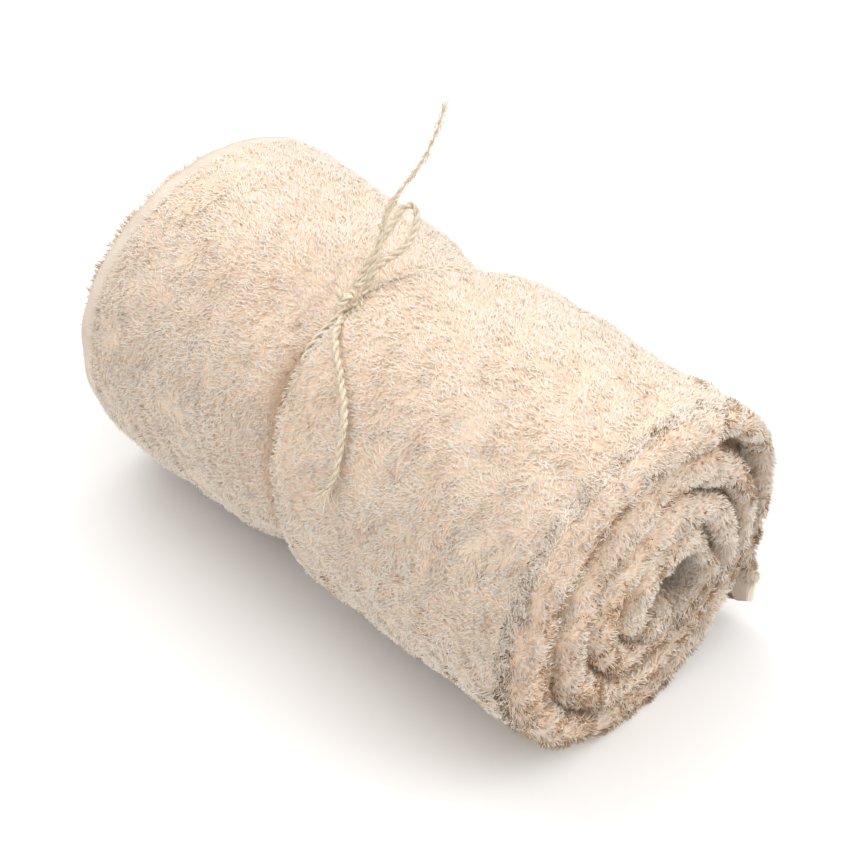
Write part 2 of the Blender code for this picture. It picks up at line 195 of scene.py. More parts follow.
def flare(turn, x):
    """How far the corner by the folded end stands off."""
    share = (turn - TURN_SPLIT) / (TURN_END - TURN_SPLIT)
    return FLARE * ease(0.45, 1.0, share) * ease(0.050, 0.160, x)


def skin(turn, x):
    """Distance from the heart of the outermost cloth's outer side, before the waist."""
    share = (turn - TURN_SPLIT) / (TURN_END - TURN_SPLIT)
    loose = winding(turn - 360) + table(LOOSE_END, share) + table(LOOSE_END, share, 2) + GAP + 0.0008 + flare(turn, x)
    blend = ease(TURN_SPLIT - 4, TURN_SPLIT + 8, turn)
    return winding(turn) * (1 - blend) + loose * blend


def under_skin(turn, x=0.0):
    """Distance from the heart of the winding's inner side."""
    share = np.clip((turn - TURN_SPLIT) / (TURN_END - TURN_SPLIT), 0, 1)
    off = (table(LOOSE_END, share, 2) + GAP + 0.0008) * ease(TURN_SPLIT - 10, TURN_SPLIT + 4, turn)
    return winding(turn - 360) + off + flare(turn, x)


PARTING = [(-900, 0.0), (-640, 0.0012), (-560, 0.0026), (-500, 0.0010), (-420, 0.0), (-300, 0.0008), (-220, 0.0024),
           (-180, 0.0018), (-120, 0.0), (20, 0.0), (80, 0.0012), (130, 0.0026), (175, 0.0016), (230, 0.0), (330, 0.0004),
           (400, 0.0006), (440, 0.0030), (490, 0.0068), (520, 0.0064), (548, 0.0020), (582, 0.0)]
EYE_FRONT, EYE_BACK = 0.004, 0.012
swell = Field(3, 0.085)
dents = Field(5, 0.030)
creep = Field(8, 0.042)
crumple = Field(9, 0.036)


def place(turn, x, depth, inset=PILE):
    """A point of the winding. depth is 0 on the turn's outer side and 1 on its inner side;
    the cloth keeps inset clear of both for its pile."""
    turn, x, depth = np.broadcast_arrays(np.asarray(turn, float), np.asarray(x, float), np.asarray(depth, float))
    # The towel's corner is round.
    turn = turn - 4.5 * ease(HALF - 0.024, HALF, x) ** 2 * ease(TURN_END - 18, TURN_END, turn)
    a = np.radians(turn)
    dy, dz = -np.cos(a), np.sin(a)
    high = skin(turn, x)
    low = under_skin(turn, x)
    bare = ease(TURN_END - 12, TURN_END - 8, turn)
    inset = inset * (1 - 0.8 * bare)
    r = (high - inset) * (1 - depth) + (low + inset) * depth
    outer = table(FULLNESS, x + HALF) * ease(200, 260, turn)
    seen = np.mod(turn - 90, 360) + 90
    back = np.exp(-(((seen - 140) / 42) ** 2)) * ease(424, 452, turn)
    outer = outer + back * (0.0030 * ease(-0.075, -0.125, x) + 0.0016 * ease(-0.125, -0.165, x) + 0.0026 * ease(0.0, 0.030, x))
    # Toward the folded end the turns part a little, most at the upper right.
    reach = winding(TURN_END - np.mod(TURN_END - turn, 360))
    phi = np.mod(turn, 360)
    part = ease(HALF - 0.040, HALF - 0.006, x) * depth * table(PARTING, turn)
    r = r + part
    # The eye is a long hollow, not a round one.
    eye = EYE_FRONT * np.clip(np.cos(a), 0, 1) ** 2 + EYE_BACK * np.clip(-np.cos(a), 0, 1) ** 2
    r = r + eye * np.clip(1 - r / np.maximum(reach, 1e-4), 0, 1) ** 2
    base = np.stack([x, HEART_Y + dy * r, HEART_Z + dz * r], -1)
    ripple = 0.0010 * swell(base) + 0.0006 * dents(base)
    ripple = ripple + 0.0017 * crumple(base) * ease(HALF - 0.045, HALF - 0.010, x) * (0.35 + 0.65 * ease(1.0, 0.8, r / np.maximum(reach, 1e-4)))
    r = r + outer + ripple
    y, z = HEART_Y + dy * r, HEART_Z + dz * r
    drawn, moved, off, round_angle = groove(x, y, z)
    share = np.clip(r / np.maximum(reach, 1e-4), 0, 1.1)
    r = r - drawn * share ** 2
    # A pocket beside the knot.
    pocket = np.exp(-((off - 0.0085) / 0.0040) ** 2 - ((round_angle - 71) / 3.4) ** 2)
    r = r - 0.0050 * pocket * ease(0.8, 1.0, share)
    shift = moved * ease(0.70, 0.98, share) * (1 - 0.8 * pocket)
    y, z = HEART_Y + dy * r, HEART_Z + dz * r
    return np.stack([x + shift, y, np.maximum(z, 0.0016 * np.ones_like(z))], -1)


def outermost(round_angle, x):
    """Distance from the roll's axis to the outermost cloth (pile tips), by halving."""
    round_angle = np.asarray(round_angle, float)
    a = np.radians(round_angle)
    dy, dz = -np.cos(a), np.sin(a)
    low, high = np.full_like(a, 0.05), np.full_like(a, 0.13)
    for _ in range(40):
        mid = (low + high) / 2
        y, z = dy * mid, AXIS_Z + dz * mid
        from_heart = np.degrees(np.arctan2(z - HEART_Z, -(y - HEART_Y)))
        turn = 222 + np.mod(from_heart - 222, 360)
        h = np.radians(turn)
        r = skin(turn, x) + table(FULLNESS, x + HALF)
        wy, wz = HEART_Y - np.cos(h) * r, HEART_Z + np.sin(h) * r
        drawn, _, _ = waist(x, wy, wz)
        r = r - drawn
        inside = r > np.hypot(y - HEART_Y, z - HEART_Z)
        low, high = np.where(inside, mid, low), np.where(inside, high, mid)
    return high


def on_waist(round_angle, lift, along=0.0):
    x = WAIST_X + line_of(round_angle) + along
    r = outermost(round_angle, x) + lift
    a = np.radians(round_angle)
    return np.stack([x * np.ones_like(r), -np.cos(a) * r, AXIS_Z + np.sin(a) * r], -1)


# ---------------------------------------------------------------- meshes from arrays
def new_mesh(name, points, polygons, uv=None, attributes=None, smooth=True, normals=None):
    """polygons: an (n, 3) or (n, 4) array of vertex numbers. uv: one pair for each corner."""
    mesh = bpy.data.meshes.new(name)
    points = np.ascontiguousarray(points, np.float32)
    polygons = np.ascontiguousarray(polygons, np.int32)
    count, sides = polygons.shape
    mesh.vertices.add(len(points))
    mesh.vertices.foreach_set("co", points.ravel())
    mesh.loops.add(count * sides)
    mesh.loops.foreach_set("vertex_index", polygons.ravel())
    mesh.polygons.add(count)
    mesh.polygons.foreach_set("loop_start", np.arange(0, count * sides, sides, dtype=np.int32))
    mesh.polygons.foreach_set("loop_total", np.full(count, sides, np.int32))
    mesh.polygons.foreach_set("use_smooth", np.full(count, smooth, bool))
    if uv is not None:
        layer = mesh.uv_layers.new(name="OFBake")
        layer.uv.foreach_set("vector", np.ascontiguousarray(uv, np.float32).ravel())
    for key, values in (attributes or {}).items():
        made = mesh.attributes.new(key, "FLOAT", "POINT")
        made.data.foreach_set("value", np.ascontiguousarray(values, np.float32))
    mesh.update(calc_edges=True)
    mesh.validate()
    if normals is not None:
        mesh.normals_split_custom_set_from_vertices(np.ascontiguousarray(normals, np.float32))
    return mesh


def new_object(name, mesh, material):
    mesh.materials.append(material)
    obj = bpy.data.objects.new(name, mesh)
    bpy.context.scene.collection.objects.link(obj)
    return obj


# ---------------------------------------------------------------- materials
def shader(name):
    made = bpy.data.materials.new(name)
    made.use_nodes = True
    tree = made.node_tree
    return made, tree, tree.nodes["Principled BSDF"]


def node(tree, kind, **values):
    made = tree.nodes.new(kind)
    for key, value in values.items():
        setattr(made, key, value)
    return made


def ramp(tree, source, stops):
    made = tree.nodes.new("ShaderNodeValToRGB")
    elements = made.color_ramp.elements
    while len(elements) < len(stops):
        elements.new(0.5)
    for element, (at, colour) in zip(elements, stops):
        element.position = at
        element.color = (*colour, 1)
    tree.links.new(source, made.inputs["Fac"])
    return made.outputs["Color"]


def noise(tree, scale, detail=3.0, rough=0.55):
    coord = tree.nodes.new("ShaderNodeTexCoord")
    made = tree.nodes.new("ShaderNodeTexNoise")
    made.inputs["Scale"].default_value = scale
    made.inputs["Detail"].default_value = detail
    made.inputs["Roughness"].default_value = rough
    tree.links.new(coord.outputs["Object"], made.inputs["Vector"])
    return made.outputs["Fac"]


def mix(tree, factor, a, b, blend="MIX"):
    made = tree.nodes.new("ShaderNodeMix")
    made.data_type = "RGBA"
    made.blend_type = blend
    for socket, value in ((made.inputs[0], factor), (made.inputs[6], a), (made.inputs[7], b)):
        if isinstance(value, (int, float)):
            socket.default_value = value
        elif isinstance(value, tuple):
            socket.default_value = (*value, 1)
        else:
            tree.links.new(value, socket)
    return made.outputs[2]


def attribute(tree, name):
    made = tree.nodes.new("ShaderNodeAttribute")
    made.attribute_name = name
    return made.outputs["Fac"]


CREAM = (0.900, 0.765, 0.610)
PEACH = (0.850, 0.690, 0.530)
TAN = (0.700, 0.520, 0.370)


def pile_material():
    made, tree, bsdf = shader("terry_pile")
    tone = attribute(tree, "tone")
    tip = attribute(tree, "tip")
    # The lowest tones are dark brown: strands in the crease along the twine are pushed down to them as painted shade,
    # and elsewhere tones vary at random.
    body = ramp(tree, tone, [(0.0, (0.520, 0.350, 0.235)), (0.10, (0.790, 0.615, 0.465)), (0.28, (0.880, 0.772, 0.652)),
                             (0.6, (0.915, 0.842, 0.750)), (1.0, (0.935, 0.880, 0.810))])
    # Painted shade: each strand is darker and warmer at its root than at its tip, so the gaps between strands, where
    # roots show, read as shaded.
    root = ramp(tree, tone, [(0.0, (0.430, 0.270, 0.170)), (0.10, (0.740, 0.530, 0.370)), (0.3, (0.850, 0.670, 0.510)), (1.0, (0.915, 0.780, 0.640))])
    rise = tree.nodes.new("ShaderNodeMapRange")
    rise.inputs["From Min"].default_value = 0.0
    rise.inputs["From Max"].default_value = 0.6
    tree.links.new(tip, rise.inputs["Value"])
    colour = mix(tree, rise.outputs["Result"], root, body)
    patch = noise(tree, 34.0, 2.0)
    colour = mix(tree, 0.55, colour, ramp(tree, patch, [(0.32, (0.96, 0.93, 0.90)), (0.68, (1.0, 1.0, 1.0))]), "MULTIPLY")
    tree.links.new(colour, bsdf.inputs["Base Color"])
    bsdf.inputs["Roughness"].default_value = 0.9
    bsdf.inputs["Specular IOR Level"].default_value = 0.0
    bsdf.inputs["Sheen Weight"].default_value = 0.0
    bsdf.inputs["Sheen Roughness"].default_value = 0.5
    return made


def cloth_material():
    """The ground cloth under the pile, and its smooth hems."""
    made, tree, bsdf = shader("terry_ground")
    hem = attribute(tree, "hem")
    speck = noise(tree, 420.0, 2.0)
    ground = ramp(tree, speck, [(0.30, (0.780, 0.580, 0.420)), (0.70, (0.870, 0.700, 0.550))])
    patch = noise(tree, 55.0, 3.0)
    smooth = ramp(tree, patch, [(0.35, (0.790, 0.665, 0.545)), (0.65, (0.850, 0.740, 0.625))])
    colour = mix(tree, hem, ground, smooth)
    # Painted shade: the ground cloth turns dark brown in the crease along the twine, low in front.
    colour = mix(tree, attribute(tree, "crease_shade"), colour, (0.400, 0.255, 0.165))
    tree.links.new(colour, bsdf.inputs["Base Color"])
    bsdf.inputs["Roughness"].default_value = 0.92
    bsdf.inputs["Specular IOR Level"].default_value = 0.15
    bsdf.inputs["Sheen Weight"].default_value = 0.10
    # Fine ribs on the hems, and rough ground under the pile.
    coord = tree.nodes.new("ShaderNodeTexCoord")
    wave = node(tree, "ShaderNodeTexWave", wave_type="BANDS", bands_direction="X")
    wave.inputs["Scale"].default_value = 320.0
    wave.inputs["Distortion"].default_value = 1.2
    wave.inputs["Detail"].default_value = 1.0
    tree.links.new(coord.outputs["Object"], wave.inputs["Vector"])
    height = tree.nodes.new("ShaderNodeMix")
    height.data_type = "FLOAT"
    tree.links.new(hem, height.inputs[0])
    tree.links.new(speck, height.inputs[2])
    tree.links.new(wave.outputs["Fac"], height.inputs[3])
    bump = tree.nodes.new("ShaderNodeBump")
    bump.inputs["Strength"].default_value = 0.5
    bump.inputs["Distance"].default_value = 0.0006
    tree.links.new(height.outputs[0], bump.inputs["Height"])
    tree.links.new(bump.outputs["Normal"], bsdf.inputs["Normal"])
    return made


def jute_material():
    made, tree, bsdf = shader("jute_twine")
    tone = attribute(tree, "tone")
    streak = noise(tree, 700.0, 4.0, 0.7)
    light = ramp(tree, streak, [(0.25, (0.740, 0.610, 0.450)), (0.55, (0.880, 0.790, 0.640)), (0.85, (0.950, 0.885, 0.770))])
    # The tone darkens the plies' inner sides, where they meet, as painted shade, and varies the loose hairs at random.
    shade = ramp(tree, tone, [(0.0, (0.62, 0.54, 0.46)), (0.6, (1.0, 1.0, 1.0))])
    colour = mix(tree, 0.8, light, shade, "MULTIPLY")
    tree.links.new(colour, bsdf.inputs["Base Color"])
    bsdf.inputs["Roughness"].default_value = 0.75
    bsdf.inputs["Specular IOR Level"].default_value = 0.25
    bsdf.inputs["Sheen Weight"].default_value = 0.10
    bump = tree.nodes.new("ShaderNodeBump")
    bump.inputs["Strength"].default_value = 0.6
    bump.inputs["Distance"].default_value = 0.0003
    tree.links.new(streak, bump.inputs["Height"])
    tree.links.new(bump.outputs["Normal"], bsdf.inputs["Normal"])
    return made


pile_look = pile_material()
cloth_look = cloth_material()
jute_look = jute_material()

# ---------------------------------------------------------------- the sheet
HEM = 0.0085
FAR_EDGE = -HALF - 0.0024
OUTER_BACK = 0.0104  # the outer layer's hem ends this far short of the inner layer's
fold_reach = 0.0088


def fold_of(turn):
    """Half the doubled cloth's thickness at its fold, and the fold's centre along X."""
    half = (skin(turn, 0.0) - under_skin(turn) - 2 * PILE) / 2
    reach = np.minimum(half * 1.05, fold_reach)
    wander = 0.0019 * creep(np.stack([0 * turn, turn / 360 * 0.11, turn / 360 * 0.05], -1))
    tip = HALF - 0.0030 + table(STAND_OUT, turn) + wander
    return half, reach, tip - reach


def cross_section(turn):
    """Rows of (x, depth, hem) round the doubled cloth's section at each angle, as arrays (turns, points)."""
    half, reach, centre = fold_of(turn)
    t = len(turn)
    far = FAR_EDGE
    rows = []
    start = far + OUTER_BACK
    centred = place(turn, np.full(t, WAIST_X), np.zeros(t))
    at_waist = WAIST_X + line_of(np.degrees(np.arctan2(centred[:, 2] - AXIS_Z, -centred[:, 1])))
    low, high = at_waist - 0.030, at_waist + 0.040
    outer_x_rows = [start, start + 0.004, start + 0.0085, start + 0.010]
    outer_x_rows += [start + 0.010 + (low - start - 0.010) * k for k in (0.22, 0.48, 0.75)]
    outer_x_rows += [at_waist + off for off in (-0.030, -0.018, -0.011, -0.0075, -0.0045, -0.0015, 0.002, 0.004, 0.006,
                                                0.008, 0.010, 0.012, 0.014, 0.017, 0.021, 0.028, 0.040)]
    outer_x_rows += [high + (centre - high) * k for k in (0.12, 0.26, 0.40, 0.54, 0.67, 0.79, 0.88, 0.95, 1.0)]
    for number, x in enumerate(outer_x_rows):  # the outer layer's outer side
        rows.append((x * np.ones(t), np.zeros(t), np.full(t, 1.0 if number < 3 else 0.0)))
    for angle in np.radians(np.arange(12, 169, 12)):  # the fold
        rows.append((centre + reach * np.sin(angle), np.full(t, (1 - np.cos(angle)) / 2), np.zeros(t)))
    inner = [far + (centre - far) * k for k in (1.0, 0.97, 0.88)]
    inner += [at_waist + off for off in (0.040, 0.016, 0.003, -0.012, -0.040)]
    inner += [far + (centre - far) * k for k in (0.15, 0.035, 0.012, 0.0)]
    for number, x in enumerate(inner):  # the inner layer's inner side
        rows.append((x * np.ones(t), np.ones(t), np.full(t, 1.0 if number > 9 else 0.0)))
    for depth, out in ((0.90, 0.0009), (0.75, 0.0012), (0.60, 0.0007)):  # its hem's edge
        rows.append((np.full(t, far - out), np.full(t, depth), np.ones(t)))
    other = [far + (centre - 0.001 - far) * k for k in (0.0, 0.02, 0.12)]
    other += [at_waist + off for off in (-0.030, 0.002, 0.030)] + [far + (centre - 0.001 - far) * 0.95]
    for number, x in enumerate(other):  # its other side
        rows.append((x * np.ones(t), np.full(t, 0.545), np.full(t, 1.0 if number < 1 else 0.0)))
    rows.append((centre + reach * 0.25, np.full(t, 0.5), np.zeros(t)))
    back_rows = [start + (centre - 0.001 - start) * 0.95] + [at_waist + off for off in (0.030, 0.002, -0.030)]
    back_rows += [start + (centre - 0.001 - start) * k for k in (0.12, 0.03, 0.0)]
    for number, x in enumerate(back_rows):  # back along the outer layer
        rows.append((x * np.ones(t), np.full(t, 0.455), np.full(t, 1.0 if number > 4 else 0.0)))
    for depth, out in ((0.40, 0.0007), (0.24, 0.0012), (0.08, 0.0009)):  # the outer hem's edge
        rows.append((np.full(t, start - out), np.full(t, depth), np.ones(t)))
    xs = np.stack([r[0] for r in rows], 1)
    depths = np.stack([r[1] for r in rows], 1)
    hems = np.stack([r[2] for r in rows], 1)
    return xs, depths, hems


turns = np.concatenate([np.arange(TURN_CORE, 218, 4.0), np.arange(218, TURN_END + 0.01, 2.0)])
turns = np.concatenate([turns[:-1], [TURN_END - 1.0, TURN_END - 0.4, TURN_END]])
xs, depths, hems = cross_section(turns)
T = np.broadcast_to(turns[:, None], xs.shape)
sheet_points = place(T, xs, depths)
# The header band at the towel's end has no pile and lies flatter.
header = ease(TURN_END - 10.5, TURN_END - 9, T)
hems = np.maximum(hems, header)
nt, ns = xs.shape
index = np.arange(nt * ns).reshape(nt, ns)
a = index[:-1, :]
b = index[1:, :]
quads = np.stack([a, np.roll(a, -1, 1), np.roll(b, -1, 1), b], -1).reshape(-1, 4)
# Each end of the sheet is closed by a ladder across its section.
n_out = 33 + 14


def end_cap(row):
    """A fan of quads between the section's two boundaries."""
    ring = index[row]
    start_inner = ns - 3 - 7 - 1 - 7 - 3  # first point of the inner layer's hem edge
    boundary = ring[:start_inner]
    inside = np.concatenate([ring[start_inner:]])[::-1]
    # Walk both chains from the outer hem to the inner hem, always taking the shorter step.
    tris = []
    i = j = 0
    while i < len(boundary) - 1 or j < len(inside) - 1:
        fi = i / (len(boundary) - 1)
        fj = j / (len(inside) - 1)
        if j == len(inside) - 1 or (i < len(boundary) - 1 and fi <= fj):
            tris.append((boundary[i], boundary[i + 1], inside[j]))
            i += 1
        else:
            tris.append((boundary[i], inside[j + 1], inside[j]))
            j += 1
    return tris


caps = np.array([t[::-1] for t in end_cap(0)] + end_cap(nt - 1))
# The map: the sheet laid out, its last turn and its outer side given the most room.
u_of = np.interp(turns, [turns[0], 218, turns[-1]], [0.0, 0.30, 1.0])
weight = np.concatenate([np.full(33, 3.0), np.full(14, 2.0), np.full(12, 0.6), np.full(3, 0.8), np.full(15, 0.4), np.full(3, 0.8)])
weight = weight[:ns]
v_of = np.concatenate([[0], np.cumsum(weight)])
v_of = v_of / v_of[-1]
ui = np.repeat(np.arange(nt - 1), ns)
vi = np.tile(np.arange(ns), nt - 1)
uv = np.stack([
    np.stack([u_of[ui], v_of[vi]], -1), np.stack([u_of[ui], v_of[vi + 1]], -1),
    np.stack([u_of[ui + 1], v_of[vi + 1]], -1), np.stack([u_of[ui + 1], v_of[vi]], -1)], 1)
tri_quads = np.concatenate([quads[:, [0, 1, 2]], quads[:, [0, 2, 3]]])
tri_uv = np.concatenate([uv[:, [0, 1, 2]], uv[:, [0, 2, 3]]])
cap_uv = np.zeros((len(caps), 3, 2))
cap_uv[:, 0] = (0.0005, 0.0005)
cap_uv[:, 1] = (0.0035, 0.0005)
cap_uv[:, 2] = (0.0005, 0.0035)
faces = np.concatenate([tri_quads, caps])
_, _, beside, round_at = groove(xs, sheet_points[..., 1], sheet_points[..., 2])
# Painted shade: a band on the cloth's outer side along the twine's groove, low in front, which the material paints dark
# brown.
crease_shade_rows = np.exp(-(((beside - 0.001) / 0.0070) ** 2)) * (ease(66, 50, round_at) + ease(330, 345, round_at)) * (depths < 0.01)
sheet = new_object(
    "towel_cloth",
    new_mesh("towel_cloth", sheet_points.reshape(-1, 3) + PLACE, faces, np.concatenate([tri_uv, cap_uv]), {"hem": hems.ravel(), "crease_shade": crease_shade_rows.ravel()}),
    cloth_look,
)

# ---------------------------------------------------------------- the pile
rng = np.random.default_rng(20)
swirl_a = Field(31, 0.055)
swirl_b = Field(32, 0.022)
swirl_c = Field(33, 0.009)
tone_a = Field(41, 0.030)
part_a = Field(44, 0.012)


def surface_at(turn, x, depth):
    """The place on the surface."""
    p = place(turn, x, depth)
    return p


def strands(roots, normals, lean_to, length, width, rise, bend, tone, seed, segments=3):
    """Bent tapering ribbons of yarn. rise: radians off the cloth at the root; bend: how much flatter at the tip."""
    rng = np.random.default_rng(seed)
    n = len(roots)
    side = unit(np.cross(normals, lean_to))
    twist = rng.uniform(-0.7, 0.7, (n, 1))
    width_axis = unit(side * np.cos(twist) + normals * np.sin(twist))
    face_out = unit(np.cross(lean_to, width_axis))
    face_out = face_out * np.sign(np.sum(face_out * normals, -1, keepdims=True))
    curl = rng.normal(0, 0.35, (n, 1))
    points = [roots]
    heading = lean_to
    step = (length / segments)[:, None]
    for k in range(segments):
        e = (rise - bend * k / max(segments - 1, 1))[:, None]
        heading = unit(heading + side * curl * 0.5)
        points.append(points[-1] + step * (np.cos(e) * heading + np.sin(e) * normals))
    taper = [1.0, 1.0, 0.8, 0.0] if segments == 3 else [1.0, 0.9, 0.0]
    verts, tips = [], []
    for k, p in enumerate(points):
        half = (width * 0.5 * taper[k])[:, None] * width_axis
        if k < segments:
            verts += [p - half, p + half]
            tips += [np.full(n, k / segments)] * 2
        else:
            verts.append(p)
            tips.append(np.full(n, 1.0))
    per = len(verts)
    V = np.stack(verts, 1)
    V[..., 2] = np.maximum(V[..., 2], 0.0002)
    tip = np.stack(tips, 1)
    base = (np.arange(n) * per)[:, None]
    tri = []
    for k in range(segments - 1):
        a0 = 2 * k
        tri += [(a0, a0 + 1, a0 + 3), (a0, a0 + 3, a0 + 2)]
    a0 = 2 * (segments - 1)
    tri.append((a0, a0 + 1, a0 + 2))
    tri = np.array(tri)
    F = (base[:, None, :] + tri[None]).reshape(-1, 3)
    # Each strand has a small cell of its own on the map, its root at the left.
    cols = int(math.ceil(math.sqrt(n)))
    cx, cy = (np.arange(n) % cols) / cols, (np.arange(n) // cols) / cols
    cell = 1 / cols
    local = np.zeros((per, 2))
    for k in range(segments):
        local[2 * k] = (0.08 + 0.84 * k / segments, 0.08)
        local[2 * k + 1] = (0.08 + 0.84 * k / segments, 0.92)
    local[-1] = (0.92, 0.5)
    UV = np.stack([cx, cy], -1)[:, None, :] + local[None] * cell
    corner = UV[:, tri].reshape(-1, 3, 2)
    # Each face looks outward.
    first = V[:, tri[0]]
    inward = np.sum(np.cross(first[:, 1] - first[:, 0], first[:, 2] - first[:, 0]) * normals, -1) < 0
    turned = np.repeat(inward, len(tri))
    F[turned] = F[turned][:, ::-1]
    corner[turned] = corner[turned][:, ::-1]
    lit = unit(0.72 * normals + 0.28 * face_out + 0.10 * lean_to)
    return V.reshape(-1, 3), F, corner, tip.reshape(-1), np.repeat(tone, per), np.repeat(lit, per, axis=0)


def normal_by_steps(turn, x_of, depth_of, s):
    """Outward normals of the section's outer boundary, at arc places s."""
    e = 1e-3
    p = place(turn, x_of(turn, s), depth_of(turn, s))
    pt = place(turn + 0.35, x_of(turn + 0.35, s), depth_of(turn + 0.35, s))
    ps = place(turn, x_of(turn, s + e), depth_of(turn, s + e))
    n = unit(np.cross(ps - p, pt - p))
    return p, n, unit(pt - p), unit(ps - p)


def make_pile(name, turn, s, x_of, depth_of, seed, length, width, rise, bend, comb, segments=3, spread=0.5, tone_shift=0.0):
    x = x_of(turn, s)
    first = place(turn, x, depth_of(turn, s))
    _, _, off, round_angle = groove(x, first[:, 1], first[:, 2])
    keep = (first[:, 2] > 0.0045) | (np.abs(x) > HALF - 0.02)
    in_front = ease(66, 50, round_angle) + ease(330, 345, round_angle)
    outside = depth_of(turn, s) < 0.01
    keep &= ~((off > -0.0034) & (off < 0.0040 + 0.0030 * in_front) & outside)
    # Painted shade: strands in the crease along the twine, low in front, get their tone lowered toward dark brown.
    crease_shade = 0.78 * np.exp(-(((off + 0.0012) / 0.0066) ** 2)) * in_front * outside
    turn, s, crease_shade = turn[keep], s[keep], crease_shade[keep]
    p, n, along_turn, along_s = normal_by_steps(turn, x_of, depth_of, s)
    # The comb: an angle in the cloth's own plane, from along_s to along_turn.
    angle = comb(p) + np.random.default_rng(seed).normal(0, spread, len(p))
    lean_to = unit(along_s * np.cos(angle)[:, None] + along_turn * np.sin(angle)[:, None])
    r = np.random.default_rng(seed + 1)
    tone = np.clip(0.60 + 0.06 * tone_a(p) + 0.16 * r.normal(size=len(p)) + tone_shift - crease_shade, 0, 1)
    rise_each = np.clip(rise + 0.26 * part_a(p) + r.normal(0, 0.16, len(p)), 0.1, 1.5)
    length_each = length * r.uniform(0.8, 1.15, len(p))
    width_each = width * r.uniform(0.7, 1.3, len(p))
    V, F, C, tip, tones, lit = strands(p, n, lean_to, length_each, width_each, rise_each, np.full(len(p), bend), tone, seed + 2, segments)
    return new_object(name, new_mesh(name, V + PLACE, F, C, {"tip": tip, "tone": tones}, normals=lit), pile_look)


pile_pieces = []

# On the outer side of the last turn.
half_, reach_, centre_ = fold_of(np.array([400.0]))
X_LOW = FAR_EDGE + OUTER_BACK + HEM
OUT_LOW, OUT_HIGH = 214.0, TURN_END - 10.0


def outer_x(turn, s):
    _, _, centre = fold_of(turn)
    return X_LOW + (centre - X_LOW) * s


def outer_depth(turn, s):
    return np.zeros_like(turn)


def comb_outer(p):
    # Brushed down the front and toward the open end, with swirls.
    round_angle = np.mod(np.degrees(np.arctan2(p[:, 2] - AXIS_Z, -p[:, 1])) + 90, 360) - 90
    rough = 0.55 + 0.85 * ease(-0.02, 0.14, p[:, 0] + 0.6 * (0.10 - p[:, 2]))
    along = np.pi + 0.25 * np.pi * np.clip((80 - round_angle) / 30, -1, 1)
    return along + rough * (0.70 * swirl_a(p) + 0.60 * swirl_b(p) + 0.45 * swirl_c(p))


OUTER_STRANDS = 50000
for part in range(4):
    r = np.random.default_rng(100 + part)
    turn = r.uniform(OUT_LOW, OUT_HIGH, OUTER_STRANDS)
    s = r.uniform(0.0, 1.0, OUTER_STRANDS)
    pile_pieces.append(make_pile(f"pile_outer_{part + 1}", turn, s, outer_x, outer_depth, 200 + 10 * part,
                                 0.0035, 0.00052, 0.74, 0.42, comb_outer, 2, 0.60))


# On the folded end.
def fold_x(turn, s):
    _, reach, centre = fold_of(turn)
    angle = s * np.pi
    straight = np.where(s > 1, (s - 1) * 0.02, 0) + np.where(s < 0, -s * 0.02, 0)
    return centre + reach * np.sin(np.clip(angle, 0, np.pi)) - straight


def fold_depth(turn, s):
    return (1 - np.cos(np.clip(s, 0, 1) * np.pi)) / 2


def comb_fold(p):
    return 0.9 + 1.4 * swirl_b(p) + 0.9 * swirl_c(p)


r = np.random.default_rng(300)
FOLD_STRANDS = 58000


def spread_turns(count, low, high, r):
    """Angles spread evenly by length along the winding."""
    at_turn = np.linspace(low, high, 400)
    weight = np.cumsum(winding(at_turn))
    return np.interp(r.uniform(weight[0], weight[-1], count), weight, at_turn)


turn = spread_turns(FOLD_STRANDS, TURN_CORE, OUT_HIGH, r)
s = r.uniform(-0.45, 1.35, FOLD_STRANDS)
pile_pieces.append(make_pile("pile_folded_end", turn, s, fold_x, fold_depth, 310,
                             0.0041, 0.00058, 0.90, 0.35, comb_fold, 2, 0.7, -0.12))




# Inside the eye, and round the towel's innermost edge.
def eye_x(turn, s):
    _, _, centre = fold_of(turn)
    return centre - 0.004 - s * 0.050


def eye_depth(turn, s):
    return np.ones_like(turn)


r = np.random.default_rng(350)
EYE_STRANDS = 9000
turn = spread_turns(EYE_STRANDS, TURN_CORE, TURN_CORE + 400, r)
pile_pieces.append(make_pile("pile_eye", turn, r.uniform(0, 1, EYE_STRANDS) ** 1.4, eye_x, eye_depth, 360,
                             0.0040, 0.00068, 0.8, 0.35, comb_fold, 2, 0.7, -0.15))
r = np.random.default_rng(370)
CORE_STRANDS = 2600
core_turn = np.full(CORE_STRANDS, TURN_CORE)
_, core_reach, core_centre = fold_of(core_turn)
core_depth = r.uniform(0, 1, CORE_STRANDS)
core_x = core_centre + core_reach * np.sqrt(np.clip(1 - (2 * core_depth - 1) ** 2, 0, 1)) - r.uniform(0, 1, CORE_STRANDS) ** 1.5 * 0.055
core_p = place(core_turn, core_x, core_depth)
core_n = unit(core_p - place(core_turn + 2.0, core_x, core_depth))

# On the open end: the inner layer's outward side and both layers just inside their hems.
def open_x_a(turn, s):
    return FAR_EDGE + s * 0.0115


def open_depth_a(turn, s):
    return np.full_like(turn, 0.53)


def open_x_b(turn, s):
    return FAR_EDGE + 0.0038 + s * 0.012


def open_depth_b(turn, s):
    return np.ones_like(turn)


def comb_open(p):
    return 3.0 + 1.0 * swirl_b(p)


r = np.random.default_rng(400)
OPEN = 13000
turn = spread_turns(OPEN, TURN_CORE, OUT_HIGH + 3, r)
s = r.uniform(0, 1, OPEN) ** 1.3
flip = lambda t, v: -v
pa, na, ta, sa = normal_by_steps(turn, open_x_a, open_depth_a, s)


